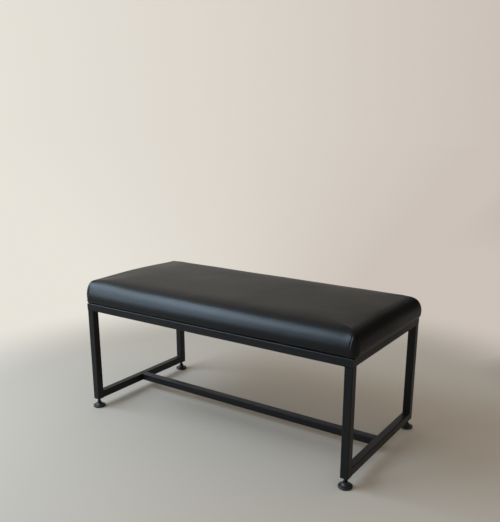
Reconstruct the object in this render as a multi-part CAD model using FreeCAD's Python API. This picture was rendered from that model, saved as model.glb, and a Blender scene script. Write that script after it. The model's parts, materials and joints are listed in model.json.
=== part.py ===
"""Padded bench: an upholstered seat on a welded square-tube frame with four levelling feet.

Millimetres, +Z up. The origin lies on the floor under the middle of the bench,
+X runs along the seat and +Y points to the back.
"""
import FreeCAD
import Part
import math
import os

from FreeCAD import Vector

# Frame of square steel tube
FRAME_LENGTH = 1000.0  # over the outer faces, along X
FRAME_DEPTH = 480.0  # over the outer faces, along Y
FRAME_HEIGHT = 352.0  # from the underside of the legs to the top of the ring
TUBE_SIDE = 25.0
TUBE_WALL = 2.0
TUBE_BEND = 0.5  # inside corner radius of the tube
WELD_SIZE = 3.0  # radius of a weld bead in its corner

# Tabs inside the ring that the seat is bolted to
TAB_WIDTH = 32.0
TAB_REACH = 30.0  # from the inner face of the rail
TAB_THICKNESS = 3.0
TAB_ROUNDING = 6.0  # of the two free corners
TAB_HOLE_REACH = 17.0  # from the inner face of the rail to the bolt
TAB_FROM_END = 220.0  # from the end of the frame to a tab on a long rail

# Seat, with heights measured from the top of the ring
SEAT_THICKNESS = 79.0  # up to the middle of the crown
SEAT_RIDGE = 15.0  # half width of the level strip along the middle
SEAT_BULGE = 8.0  # how far the sides stand out past the frame
SEAT_WIDEST = 15.0  # height of the widest outline
SEAT_TUCK = 12.0  # how far the sides draw in below the widest outline
SEAT_SOFTNESS = 19.0  # how slowly the front and back rise inwards from the widest outline
SEAT_END_SOFTNESS = 11.0  # the same for the two ends
SEAT_CORNER = 26.0  # plan radius of the corners at their widest
SEAT_CORNER_TOP = 16.0  # plan radius of the corners at the top
COVER_THICKNESS = 1.2
COVER_TURN = 23.0  # how far the cover reaches past the rails underneath
BOARD_THICKNESS = 12.0
SOFT_CLEARANCE = 0.3  # between the cover and what it goes round
DUST_THICKNESS = 0.6
DUST_CLEARANCE = 1.5  # from the dust cloth to the rails

# Staples through the dust cloth and the cover into the board
STAPLE_WIDTH = 10.0
STAPLE_WIRE = 0.9
STAPLE_LEG = 8.0
STAPLE_SPACING = 55.0
STAPLE_FROM_RAIL = 12.0
STAPLE_TAB_GAP = 4.0  # least distance from a staple to a tab

# Bolts, washers and tee nuts that hold the seat
BOLT_DIAMETER = 6.0
BOLT_HEAD_WIDTH = 10.0  # across the flats
BOLT_HEAD_HEIGHT = 4.0
BOLT_SHORT = 1.0  # how far the tip stays below the top of the board
BOLT_HOLE_GAP = 0.3  # round the bolt in plain holes
WASHER_DIAMETER = 12.0
WASHER_THICKNESS = 1.6
TEE_NUT_FLANGE = 19.0
TEE_NUT_FLANGE_THICKNESS = 1.5
TEE_NUT_BARREL = 8.0
TEE_NUT_SHORT = 3.0  # board left below the barrel
FIT_GAP = 0.05  # round threads and pressed pieces

# Levelling feet, as far out as they usually stand
FOOT_HEIGHT = 32.0  # from the floor to the underside of the legs
BASE_DIAMETER = 42.0
BASE_RIM = 7.0
BASE_RIM_ROUNDING = 2.5
BASE_HEIGHT = 18.0  # from the underside of the rim to the top of the boss
BOSS_DIAMETER = 15.0
GRIP_DIAMETER = 34.0
GRIP_THICKNESS = 2.0
GRIP_PROUD = 0.8  # how far the grip pad stands out under the base
STUD_DIAMETER = 10.0
STUD_IN_LEG = 20.0
STUD_CHAMFER = 1.0
STUD_NECK_GAP = 0.2  # round the stud in the boss
BALL_DIAMETER = 12.0
BALL_HEIGHT = 9.5  # from the floor to the middle of the ball
BALL_GAP = 0.1
INSERT_LENGTH = 24.0

# Sizes that follow from these
TUBE_CORNER = TUBE_BEND + TUBE_WALL
TUBE_FLAT = TUBE_SIDE - 2 * TUBE_CORNER
LEG_BOTTOM = FOOT_HEIGHT
RING_TOP = LEG_BOTTOM + FRAME_HEIGHT
RING_BOTTOM = RING_TOP - TUBE_SIDE
LEG_X = (FRAME_LENGTH - TUBE_SIDE) / 2
LEG_Y = (FRAME_DEPTH - TUBE_SIDE) / 2
INNER_X = FRAME_LENGTH / 2 - TUBE_SIDE
INNER_Y = FRAME_DEPTH / 2 - TUBE_SIDE
LOW_RAIL_MIDDLE = LEG_BOTTOM + TUBE_SIDE / 2
TAB_TOP = RING_TOP - DUST_THICKNESS
TAB_BOTTOM = TAB_TOP - TAB_THICKNESS
BOARD_BOTTOM = RING_TOP + COVER_THICKNESS
BOARD_TOP = BOARD_BOTTOM + BOARD_THICKNESS
BOLT_HOLE_RADIUS = BOLT_DIAMETER / 2 + BOLT_HOLE_GAP
BASE_BOTTOM = GRIP_PROUD
BASE_TOP = BASE_BOTTOM + BASE_HEIGHT

# Sections through each rounded stretch of the seat
LOWER_SECTIONS = 4
UPPER_SECTIONS = 9
UPPER_TURN = math.radians(76)  # of the side's section, up to where the crown takes over
CROWN_SECTIONS = 3

UP = Vector(0, 0, 1)
DOWN = Vector(0, 0, -1)
CORNERS = {
    "front_left": (-1, -1),
    "front_right": (1, -1),
    "back_left": (-1, 1),
    "back_right": (1, 1),
}


def rounded_rectangle(length, depth, radius, height):
    """Closed outline about the Z axis, of four lines and four arcs."""
    half_x = length / 2
    half_y = depth / 2
    slack = radius * (1 - math.sqrt(0.5))
    edges = []
    for turn in range(4):
        along, across = (half_x, half_y) if turn % 2 == 0 else (half_y, half_x)
        start = Vector(along, -across + radius, height)
        end = Vector(along, across - radius, height)
        bend = Vector(along - slack, across - slack, height)
        after = Vector(along - radius, across, height)
        side = [Part.LineSegment(start, end).toShape(), Part.Arc(end, bend, after).toShape()]
        for edge in side:
            edge.rotate(Vector(0, 0, 0), UP, 90 * turn)
        edges += side
    return Part.Wire(edges)


def rounded_block(length, depth, radius, bottom, thickness):
    outline = rounded_rectangle(length, depth, radius, bottom)
    return Part.Face(outline).extrude(UP * thickness)


def disc(radius, bottom, thickness, x=0.0, y=0.0):
    return Part.makeCylinder(radius, thickness, Vector(x, y, bottom))


def square_tube(start, end):
    """Hollow tube between two points on its middle line."""
    length = (end - start).Length
    bore_side = TUBE_SIDE - 2 * TUBE_WALL
    outside = rounded_block(TUBE_SIDE, TUBE_SIDE, TUBE_CORNER, 0, length)
    bore = rounded_block(bore_side, bore_side, TUBE_BEND, 0, length)
    tube = outside.cut(bore)
    tube.Placement = FreeCAD.Placement(start, FreeCAD.Rotation(UP, end - start))
    return tube


# Frame

def legs():
    shapes = {}
    for name, (side_x, side_y) in CORNERS.items():
        foot = Vector(side_x * LEG_X, side_y * LEG_Y, LEG_BOTTOM)
        shapes["leg_" + name] = square_tube(foot, Vector(foot.x, foot.y, RING_BOTTOM))
    return shapes


def mitred_rail(start, end, inward):
    """Ring tube between two outer corners of the frame, mitred at both ends."""
    along = (end - start).normalize()
    middle = inward * (TUBE_SIDE / 2) + UP * (TUBE_SIDE / 2)
    tube = square_tube(start + middle, end + middle)
    inner_end = end + (inward - along) * TUBE_SIDE
    inner_start = start + (inward + along) * TUBE_SIDE
    outline = Part.makePolygon([start, end, inner_end, inner_start, start])
    return tube.common(Part.Face(outline).extrude(UP * TUBE_SIDE))


def ring_rails():
    x = FRAME_LENGTH / 2
    y = FRAME_DEPTH / 2
    front_left = Vector(-x, -y, RING_BOTTOM)
    front_right = Vector(x, -y, RING_BOTTOM)
    back_right = Vector(x, y, RING_BOTTOM)
    back_left = Vector(-x, y, RING_BOTTOM)
    return {
        "seat_rail_front": mitred_rail(front_left, front_right, Vector(0, 1, 0)),
        "seat_rail_right": mitred_rail(front_right, back_right, Vector(-1, 0, 0)),
        "seat_rail_back": mitred_rail(back_right, back_left, Vector(0, -1, 0)),
        "seat_rail_left": mitred_rail(back_left, front_left, Vector(1, 0, 0)),
    }


def low_rails():
    shapes = {}
    for name, side in (("left", -1), ("right", 1)):
        front = Vector(side * LEG_X, -INNER_Y, LOW_RAIL_MIDDLE)
        back = Vector(side * LEG_X, INNER_Y, LOW_RAIL_MIDDLE)
        shapes["foot_rail_" + name] = square_tube(front, back)
    left_end = Vector(-INNER_X, 0, LOW_RAIL_MIDDLE)
    right_end = Vector(INNER_X, 0, LOW_RAIL_MIDDLE)
    shapes["stretcher"] = square_tube(left_end, right_end)
    return shapes


def tab_places():
    """Each tab's name, the middle of its welded edge, and the way it points."""
    long_x = FRAME_LENGTH / 2 - TAB_FROM_END
    return [
        ("front_left", Vector(-long_x, -INNER_Y, 0), Vector(0, 1, 0)),
        ("front_right", Vector(long_x, -INNER_Y, 0), Vector(0, 1, 0)),
        ("back_left", Vector(-long_x, INNER_Y, 0), Vector(0, -1, 0)),
        ("back_right", Vector(long_x, INNER_Y, 0), Vector(0, -1, 0)),
        ("left", Vector(-INNER_X, 0, 0), Vector(1, 0, 0)),
        ("right", Vector(INNER_X, 0, 0), Vector(-1, 0, 0)),
    ]


def bolt_places():
    return [edge + inward * TAB_HOLE_REACH for _, edge, inward in tab_places()]


def bolt_holes(radius, bottom, thickness):
    return Part.makeCompound([disc(radius, bottom, thickness, at.x, at.y) for at in bolt_places()])


def seat_tabs():
    shapes = {}
    holes = bolt_holes(BOLT_HOLE_RADIUS, TAB_BOTTOM, TAB_THICKNESS)
    for name, edge, inward in tab_places():
        across = inward.cross(UP) * (TAB_WIDTH / 2)
        root = edge + UP * TAB_BOTTOM
        tip = root + inward * TAB_REACH
        outline = Part.makePolygon([root - across, root + across, tip + across, tip - across, root - across])
        plate = Part.Face(outline).extrude(UP * TAB_THICKNESS)
        upright = [e for e in plate.Edges if abs(e.tangentAt(e.FirstParameter).z) > 0.9]
        free = [e for e in upright if (e.CenterOfMass - root).dot(inward) > TAB_REACH / 2]
        shapes["seat_tab_" + name] = plate.makeFillet(TAB_ROUNDING, free).cut(holes)
    return shapes


def weld_bead(corner, along, length, side_a, side_b):
    """Quarter-round bead along a corner between two faces that run off along side_a and side_b."""
    start = corner - along * (length / 2)
    end_a = start + side_a * WELD_SIZE
    end_b = start + side_b * WELD_SIZE
    crest = start + (side_a + side_b).normalize() * WELD_SIZE
    edges = [
        Part.LineSegment(start, end_a).toShape(),
        Part.Arc(end_a, crest, end_b).toShape(),
        Part.LineSegment(end_b, start).toShape(),
    ]
    return Part.Face(Part.Wire(edges)).extrude(along * length)


def frame_welds():
    along_x = Vector(1, 0, 0)
    along_y = Vector(0, 1, 0)
    low_rail_top = LEG_BOTTOM + TUBE_SIDE
    beads = []
    for side_x, side_y in CORNERS.values():
        in_x = Vector(-side_x, 0, 0)
        in_y = Vector(0, -side_y, 0)
        x_face = Vector(side_x * INNER_X, side_y * LEG_Y, RING_BOTTOM)
        y_face = Vector(side_x * LEG_X, side_y * INNER_Y, RING_BOTTOM)
        low_y_face = Vector(y_face.x, y_face.y, low_rail_top)
        ring_corner = Vector(side_x * INNER_X, side_y * INNER_Y, RING_BOTTOM + TUBE_SIDE / 2)
        beads.append(weld_bead(x_face, along_y, TUBE_FLAT, in_x, DOWN))
        beads.append(weld_bead(y_face, along_x, TUBE_FLAT, in_y, DOWN))
        beads.append(weld_bead(low_y_face, along_x, TUBE_FLAT, in_y, UP))
        beads.append(weld_bead(ring_corner, UP, TUBE_FLAT, in_x, in_y))
    for side_x in (-1, 1):
        for side_y in (-1, 1):
            joint = Vector(side_x * INNER_X, side_y * TUBE_SIDE / 2, LOW_RAIL_MIDDLE)
            beads.append(weld_bead(joint, UP, TUBE_FLAT, Vector(-side_x, 0, 0), Vector(0, side_y, 0)))
    for _, edge, inward in tab_places():
        beads.append(weld_bead(edge + UP * TAB_BOTTOM, inward.cross(UP), TAB_WIDTH, inward, DOWN))
    return {"frame_welds": Part.makeCompound(beads)}


# Seat

def seat_sections(offset):
    """End inset, side inset, corner radius and height of each section, from the underside to the crown.

    Insets count from the frame's outer faces and heights from the ring. The whole form lies
    the given distance inside the outer skin.
    """
    crest = SEAT_THICKNESS - SEAT_WIDEST - offset
    ridge = FRAME_DEPTH / 2 - SEAT_RIDGE
    sections = []
    for step in range(LOWER_SECTIONS):
        angle = math.pi / 2 * (1 - step / LOWER_SECTIONS)
        inset = SEAT_TUCK - SEAT_BULGE - (SEAT_TUCK - offset) * math.cos(angle)
        height = SEAT_WIDEST - (SEAT_WIDEST - offset) * math.sin(angle)
        sections.append((inset, inset, SEAT_CORNER - offset, height))
    for step in range(UPPER_SECTIONS + 1):
        part = step / UPPER_SECTIONS
        way_in = -2 * math.log(math.cos(UPPER_TURN * part))
        end_inset = offset - SEAT_BULGE + SEAT_END_SOFTNESS * way_in
        side_inset = offset - SEAT_BULGE + SEAT_SOFTNESS * way_in
        corner = SEAT_CORNER + part * (SEAT_CORNER_TOP - SEAT_CORNER) - offset
        sections.append((end_inset, side_inset, corner, SEAT_WIDEST + crest * math.sin(UPPER_TURN * part)))
    end_rim, side_rim, corner, rim_height = sections[-1]
    for step in range(1, CROWN_SECTIONS + 1):
        part = step / CROWN_SECTIONS
        way_in = part * (ridge - side_rim)
        height = rim_height + (SEAT_WIDEST + crest - rim_height) * (1 - (1 - part) ** 2)
        sections.append((end_rim + way_in, side_rim + way_in, corner, height))
    return sections


def seat_form(offset):
    """Closed crowned form with soft edges, the given distance inside the outer skin."""
    outlines = []
    for end_inset, side_inset, corner, height in seat_sections(offset):
        length = FRAME_LENGTH - 2 * end_inset
        depth = FRAME_DEPTH - 2 * side_inset
        outlines.append(rounded_rectangle(length, depth, corner, RING_TOP + height))
    ruled = True
    return Part.makeLoft(outlines, True, ruled)


def seat_cover():
    """Skin over the foam and round the edge of the board, open in the middle underneath."""
    opening = Part.makeBox(2 * (INNER_X - COVER_TURN), 2 * (INNER_Y - COVER_TURN), 2 * COVER_THICKNESS)
    opening.translate(Vector(COVER_TURN - INNER_X, COVER_TURN - INNER_Y, RING_TOP - COVER_THICKNESS / 2))
    holes = bolt_holes(BOLT_HOLE_RADIUS, RING_TOP, COVER_THICKNESS)
    return seat_form(0).cut(seat_form(COVER_THICKNESS)).cut(opening).cut(holes)


def seat_foam():
    """Block that fills the cover above the board."""
    below = Part.makeBox(2 * FRAME_LENGTH, 2 * FRAME_DEPTH, BOARD_TOP)
    below.translate(Vector(-FRAME_LENGTH, -FRAME_DEPTH, 0))
    return seat_form(COVER_THICKNESS + SOFT_CLEARANCE).cut(below)


def seat_board():
    inset = SEAT_TUCK - SEAT_BULGE + SOFT_CLEARANCE
    radius = SEAT_CORNER - COVER_THICKNESS - SOFT_CLEARANCE
    board = rounded_block(
        FRAME_LENGTH - 2 * inset, FRAME_DEPTH - 2 * inset, radius, BOARD_BOTTOM, BOARD_THICKNESS
    )
    barrels = bolt_holes(TEE_NUT_BARREL / 2 + FIT_GAP, BOARD_BOTTOM, BOARD_THICKNESS)
    sink = BOARD_TOP - TEE_NUT_FLANGE_THICKNESS
    flanges = bolt_holes(TEE_NUT_FLANGE / 2 + FIT_GAP, sink, TEE_NUT_FLANGE_THICKNESS)
    return board.cut(barrels).cut(flanges)


def dust_cloth():
    length = 2 * (INNER_X - DUST_CLEARANCE)
    depth = 2 * (INNER_Y - DUST_CLEARANCE)
    cloth = Part.makeBox(length, depth, DUST_THICKNESS, Vector(-length / 2, -depth / 2, TAB_TOP))
    return cloth.cut(bolt_holes(BOLT_HOLE_RADIUS, TAB_TOP, DUST_THICKNESS))


def staple():
    """Staple about the Z axis, its crown along X under the dust cloth and its legs up in the board."""
    crown_bottom = TAB_TOP - STAPLE_WIRE
    half_wire = STAPLE_WIRE / 2
    crown = Part.makeBox(STAPLE_WIDTH, STAPLE_WIRE, STAPLE_WIRE)
    crown.translate(Vector(-STAPLE_WIDTH / 2, -half_wire, crown_bottom))
    leg = Part.makeBox(STAPLE_WIRE, STAPLE_WIRE, STAPLE_LEG)
    left = leg.translated(Vector(-STAPLE_WIDTH / 2, -half_wire, crown_bottom))
    right = leg.translated(Vector(STAPLE_WIDTH / 2 - STAPLE_WIRE, -half_wire, crown_bottom))
    return crown.fuse([left, right]).removeSplitter()


def clear_of_tabs(point):
    """Whether a staple at this point stays beside every tab."""
    room = (TAB_WIDTH + STAPLE_WIDTH) / 2 + STAPLE_TAB_GAP
    for _, edge, inward in tab_places():
        away = point - edge
        beside = abs(away.dot(inward.cross(UP)))
        if beside < room and abs(away.dot(inward)) < TAB_REACH + STAPLE_WIDTH:
            return False
    return True


def cover_staples():
    row_x = INNER_X - STAPLE_FROM_RAIL
    row_y = INNER_Y - STAPLE_FROM_RAIL
    places = []
    for half_row, distance, turn in ((row_x, row_y, 0), (row_y, row_x, 90)):
        gaps = max(1, round(2 * (half_row - STAPLE_SPACING / 2) / STAPLE_SPACING))
        pitch = 2 * (half_row - STAPLE_SPACING / 2) / gaps
        for count in range(gaps + 1):
            along = (count - gaps / 2) * pitch
            for side in (-1, 1):
                point = Vector(along, side * distance, 0)
                places.append((FreeCAD.Rotation(UP, turn).multVec(point), turn))
    shapes = []
    for point, turn in places:
        if clear_of_tabs(point):
            shapes.append(staple().rotated(Vector(0, 0, 0), UP, turn).translated(point))
    return Part.makeCompound(shapes)


def seat_bolt():
    """Hexagon bolt about the Z axis, up through its washer and tab into the tee nut."""
    head_top = TAB_BOTTOM - WASHER_THICKNESS
    radius = BOLT_HEAD_WIDTH / math.sqrt(3)
    points = []
    for corner in range(7):
        angle = math.radians(60 * corner)
        points.append(Vector(radius * math.cos(angle), radius * math.sin(angle), head_top - BOLT_HEAD_HEIGHT))
    head = Part.Face(Part.makePolygon(points)).extrude(UP * BOLT_HEAD_HEIGHT)
    shank = disc(BOLT_DIAMETER / 2, head_top, BOARD_TOP - BOLT_SHORT - head_top)
    return head.fuse(shank)


def seat_washer():
    bottom = TAB_BOTTOM - WASHER_THICKNESS
    hole = disc(BOLT_HOLE_RADIUS, bottom, WASHER_THICKNESS)
    return disc(WASHER_DIAMETER / 2, bottom, WASHER_THICKNESS).cut(hole)


def tee_nut():
    """Flanged nut sunk in the top of the board, with its barrel down the hole."""
    barrel_bottom = BOARD_BOTTOM + TEE_NUT_SHORT
    flange_bottom = BOARD_TOP - TEE_NUT_FLANGE_THICKNESS
    barrel = disc(TEE_NUT_BARREL / 2, barrel_bottom, BOARD_TOP - barrel_bottom)
    flange = disc(TEE_NUT_FLANGE / 2, flange_bottom, TEE_NUT_FLANGE_THICKNESS)
    bore = disc(BOLT_DIAMETER / 2 + FIT_GAP, barrel_bottom, BOARD_TOP - barrel_bottom)
    return barrel.fuse(flange).cut(bore)


def at_bolts(shape):
    return Part.makeCompound([shape.translated(place) for place in bolt_places()])


def seat():
    return {
        "seat_board": seat_board(),
        "seat_foam": seat_foam(),
        "seat_cover": seat_cover(),
        "dust_cloth": dust_cloth(),
        "cover_staples": cover_staples(),
        "seat_bolts": at_bolts(seat_bolt()),
        "seat_washers": at_bolts(seat_washer()),
        "tee_nuts": at_bolts(tee_nut()),
    }


# Levelling feet, each made about the Z axis

def leg_insert():
    """Threaded plug in the bottom end of a leg."""
    side = TUBE_SIDE - 2 * (TUBE_WALL + FIT_GAP)
    plug = rounded_block(side, side, TUBE_BEND, LEG_BOTTOM, INSERT_LENGTH)
    return plug.cut(disc(STUD_DIAMETER / 2 + FIT_GAP, LEG_BOTTOM, INSERT_LENGTH))


def foot_stud():
    """Threaded stud on a ball that turns in the base."""
    radius = STUD_DIAMETER / 2
    tip = LEG_BOTTOM + STUD_IN_LEG
    ball = Part.makeSphere(BALL_DIAMETER / 2, Vector(0, 0, BALL_HEIGHT))
    shank = disc(radius, BALL_HEIGHT, tip - STUD_CHAMFER - BALL_HEIGHT)
    end = Part.makeCone(radius, radius - STUD_CHAMFER, STUD_CHAMFER, Vector(0, 0, tip - STUD_CHAMFER))
    return ball.fuse([shank, end]).removeSplitter()


def foot_base():
    """Round base with a rounded rim, a trumpet-shaped boss and a socket for the ball."""
    rim_radius = BASE_DIAMETER / 2
    boss_radius = BOSS_DIAMETER / 2
    recess_radius = GRIP_DIAMETER / 2 + FIT_GAP
    recess_top = GRIP_THICKNESS
    rim_top = BASE_BOTTOM + BASE_RIM
    rounding = BASE_RIM_ROUNDING
    slack = rounding * (1 - math.sqrt(0.5))
    flare = rim_radius - rounding - boss_radius
    flare_middle = boss_radius + flare * (1 - math.sqrt(0.5))
    flare_height = rim_top + (BASE_TOP - rim_top) * (1 - math.sqrt(0.5))

    def at(radius, height):
        return Vector(radius, 0, height)

    under = [at(0, BASE_TOP), at(0, recess_top), at(recess_radius, recess_top),
             at(recess_radius, BASE_BOTTOM), at(rim_radius - rounding, BASE_BOTTOM)]
    edges = [Part.LineSegment(a, b).toShape() for a, b in zip(under, under[1:])]
    rim_low = at(rim_radius, BASE_BOTTOM + rounding)
    rim_high = at(rim_radius, rim_top - rounding)
    shoulder = at(rim_radius - rounding, rim_top)
    boss = at(boss_radius, BASE_TOP)
    edges.append(Part.Arc(under[-1], at(rim_radius - slack, BASE_BOTTOM + slack), rim_low).toShape())
    edges.append(Part.LineSegment(rim_low, rim_high).toShape())
    edges.append(Part.Arc(rim_high, at(rim_radius - slack, rim_top - slack), shoulder).toShape())
    edges.append(Part.Arc(shoulder, at(flare_middle, flare_height), boss).toShape())
    edges.append(Part.LineSegment(boss, under[0]).toShape())
    body = Part.Face(Part.Wire(edges)).revolve(Vector(0, 0, 0), UP, 360)
    socket = Part.makeSphere(BALL_DIAMETER / 2 + BALL_GAP, Vector(0, 0, BALL_HEIGHT))
    neck = disc(STUD_DIAMETER / 2 + STUD_NECK_GAP, BALL_HEIGHT, BASE_TOP - BALL_HEIGHT)
    return body.cut(socket).cut(neck)


def foot_grip():
    return disc(GRIP_DIAMETER / 2, 0, GRIP_THICKNESS)


def feet():
    shapes = {}
    for name, (side_x, side_y) in CORNERS.items():
        place = Vector(side_x * LEG_X, side_y * LEG_Y, 0)
        shapes["leg_insert_" + name] = leg_insert().translated(place)
        shapes["foot_stud_" + name] = foot_stud().translated(place)
        shapes["foot_base_" + name] = foot_base().translated(place)
        shapes["foot_grip_" + name] = foot_grip().translated(place)
    return shapes


os.makedirs("parts", exist_ok=True)
for group in (legs(), ring_rails(), low_rails(), seat_tabs(), frame_welds(), seat(), feet()):
    for node, shape in group.items():
        shape.exportStep("parts/" + node + ".step")
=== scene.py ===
"""Looks of a padded bench: leatherette seat, powder-coated frame, levelling feet, pale floor, soft light.

Metres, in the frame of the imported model: +Z up, +X along the seat, the origin on the floor.
"""
import json
import math

import bmesh
import bpy
import numpy as np
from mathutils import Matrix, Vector, noise


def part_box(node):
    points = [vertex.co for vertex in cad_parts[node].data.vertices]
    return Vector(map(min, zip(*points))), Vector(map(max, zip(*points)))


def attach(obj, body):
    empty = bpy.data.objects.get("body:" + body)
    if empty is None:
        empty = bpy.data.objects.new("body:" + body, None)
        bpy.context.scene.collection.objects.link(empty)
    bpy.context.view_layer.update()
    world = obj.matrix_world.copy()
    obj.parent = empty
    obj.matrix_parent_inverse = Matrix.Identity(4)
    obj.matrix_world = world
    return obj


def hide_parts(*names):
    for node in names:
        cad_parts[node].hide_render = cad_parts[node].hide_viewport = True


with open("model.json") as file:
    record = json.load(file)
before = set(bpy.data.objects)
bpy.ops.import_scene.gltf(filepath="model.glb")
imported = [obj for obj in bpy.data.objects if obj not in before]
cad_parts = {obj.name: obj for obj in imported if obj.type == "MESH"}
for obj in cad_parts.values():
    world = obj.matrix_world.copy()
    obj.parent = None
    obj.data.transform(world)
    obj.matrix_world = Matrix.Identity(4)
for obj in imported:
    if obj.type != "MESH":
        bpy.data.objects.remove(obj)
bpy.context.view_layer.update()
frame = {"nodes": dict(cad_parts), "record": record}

CORNERS = {"front_left": (-1, -1), "front_right": (1, -1), "back_left": (-1, 1), "back_right": (1, 1)}

# Camera, fitted to the frame's edges in the photograph of 500 by 522 pixels, in metres and radians
IMAGE_HEIGHT = 522
FOCAL_PIXELS = 653.96
AXIS_BELOW_MIDDLE = 54  # pixels, because the uprights lean in less than a plain lens would show
SENSOR = 36.0  # millimetres
CAMERA_PLACE = (1.1782, -1.7136, 0.9731)
CAMERA_YAW = 0.5978
CAMERA_PITCH = 0.2842

# Seat, shaped after the space of its solid, with heights measured from the top of the frame
SEAT_LOW, SEAT_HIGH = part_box("seat_cover")
RING_TOP = SEAT_LOW.z
END_FULLNESS = 0.0045  # how far the widest outline's right end lies past the solid, before it is drawn in
LEFT_FLUSH = 0.003  # how much less far the left end stands out
SIDE_FLUSH = 0.003  # how far the outline's front and back lie inside the solid
SEAT_HALF_X = SEAT_HIGH.x + END_FULLNESS
SEAT_HALF_Y = SEAT_HIGH.y - SIDE_FLUSH
SWELL_TOP = 0.0025  # how much the top rises when the cover swells
SEAT_THICKNESS = SEAT_HIGH.z - SEAT_LOW.z - SWELL_TOP
SEAT_WIDEST = 0.016  # height of its widest outline
SEAT_CREST = SEAT_THICKNESS - SEAT_WIDEST
SEAT_LEAN = math.radians(46)  # slope of the side where it begins to roll onto the top
SEAT_ROLL = 0.045  # radius of that roll
# Radius of the long arc below the roll, and how far inset the upper ends of the two arcs lie
LEAN_RADIUS = (SEAT_CREST - SEAT_ROLL * (1 - math.cos(SEAT_LEAN))) / math.cos(SEAT_LEAN)
LEAN_INSET = LEAN_RADIUS * (1 - math.sin(SEAT_LEAN))
TOP_INSET = LEAN_INSET + SEAT_ROLL * math.sin(SEAT_LEAN)
LEFT_STEEPNESS = 3.2  # how much sooner the left end rises than the front and back
RIGHT_STEEPNESS = 1.15  # the same at the right end
CORNER_FULLNESS = 2.6  # how little end and side combine at a corner
CORNER_EAR = 0.35  # how much less the front leans at the corners, as a share
CORNER_EAR_REACH = 0.050  # from the ends
LEFT_DROP = 0.09  # how much lower the top stands at the left corners, as a share
RIGHT_DROP = 0.10  # the same at the right corners
CORNER_DROP_REACH = 0.065  # from the ends
RIGHT_LOWER = 0.03  # how much lower it lies all along the right end, as a share
LEFT_LIFT = 0.06  # how much higher it stands at the front left, as a share
LEFT_LIFT_FROM = 0.25  # from the middle, to the left
SEAT_TUCK = 0.013  # how far it draws in below the widest outline
LEFT_TUCK = 0.004  # the same at the left end
RIGHT_TUCK = 0.009  # the same at the right end
TUCKS = (LEFT_TUCK, RIGHT_TUCK, SEAT_TUCK)
RIGHT_TAPER = 0.002  # how far the right end draws in more, towards its foot
RIGHT_TAPER_HEIGHT = 0.040  # above which it does not
SEAT_CORNER = 0.022  # radius of its corners at the widest outline
SEAT_CORNER_TOP = 0.006  # the same at the rim of the top
SEAT_CORNER_FOOT = 0.012  # the same at the foot
COVER_TURN = 0.056  # how far the cover goes under, from the widest outline
COVER_THICKNESS = 0.0012
COVER_LIFT = 0.0002  # of the underside above the frame
FOAM_GAP = 0.0006  # from the cover to the foam
SWELL = 0.0012  # how much smaller the cover starts before it swells

# Grid of the cover: lines across each corner and each straight stretch, and rings down the sides
CORNER_LINES = 12
LONG_LINES = 72
SHORT_LINES = 36
END_EASE = 0.8  # how much closer the lines lie near the corners
SIDE_RINGS = 22
RIM_SLOPE = math.radians(12)  # where the rings begin, on the roll
LOWER_RINGS = 6
UNDER_RINGS = 5


def link(piece):
    """Puts a new object into the scene."""
    bpy.context.scene.collection.objects.link(piece)
    return piece


def mesh_piece(name, points, faces, material, smooth=True):
    """New object of one material."""
    mesh = bpy.data.meshes.new(name)
    mesh.from_pydata([tuple(p) for p in points], [], faces)
    mesh.validate()
    if smooth:
        mesh.shade_smooth()
    mesh.materials.append(material)
    return link(bpy.data.objects.new(name, mesh))


def fade(value, start, end):
    """Goes smoothly from 0 at start to 1 at end."""
    share = np.clip((value - start) / (end - start), 0, 1)
    return share * share * (3 - 2 * share)


def stacked(rings):
    """Points and faces of a closed form through rings of equal counts, with a flat face at each end."""
    count = len(rings[0])
    points = [point for ring in rings for point in ring]
    faces = [tuple(range(count)), tuple(range(len(points) - count, len(points)))]
    for level in range(len(rings) - 1):
        first = level * count
        for k in range(count):
            after = (k + 1) % count
            faces.append((first + k, first + after, first + after + count, first + k + count))
    return points, faces


def closed_piece(name, forms, material, sharp):
    """One piece of several closed forms, with edges sharper than the given angle left crisp."""
    points = []
    faces = []
    for form_points, form_faces in forms:
        start = len(points)
        points += form_points
        faces += [tuple(start + v for v in face) for face in form_faces]
    piece = mesh_piece(name, points, faces, material)
    edit = bmesh.new()
    edit.from_mesh(piece.data)
    bmesh.ops.recalc_face_normals(edit, faces=edit.faces)
    edit.to_mesh(piece.data)
    edit.free()
    piece.data.set_sharp_from_angle(angle=sharp)
    return piece


def coordinates(mesh, layer="co"):
    """A mesh's points, or its normals at them, as the rows of an array."""
    values = np.empty(len(mesh.vertices) * 3, np.float32)
    mesh.vertices.foreach_get(layer, values)
    return values.reshape(-1, 3).astype(float)


def set_coordinates(mesh, points):
    """Moves a mesh's points to the rows of an array."""
    mesh.vertices.foreach_set("co", np.asarray(points, np.float32).ravel())
    mesh.update()


def apply_modifiers(piece):
    """Replaces the piece's mesh by what its modifiers make of it."""
    graph = bpy.context.evaluated_depsgraph_get()
    mesh = bpy.data.meshes.new_from_object(piece.evaluated_get(graph))
    piece.modifiers.clear()
    piece.data = mesh


# Material helpers

MIX_INPUTS = (0, 6, 7)  # sockets of a Mix node for its factor and two colours
MIX_RESULT = 2
NOISE_MIDDLE = (0.3, 0.7)


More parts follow.
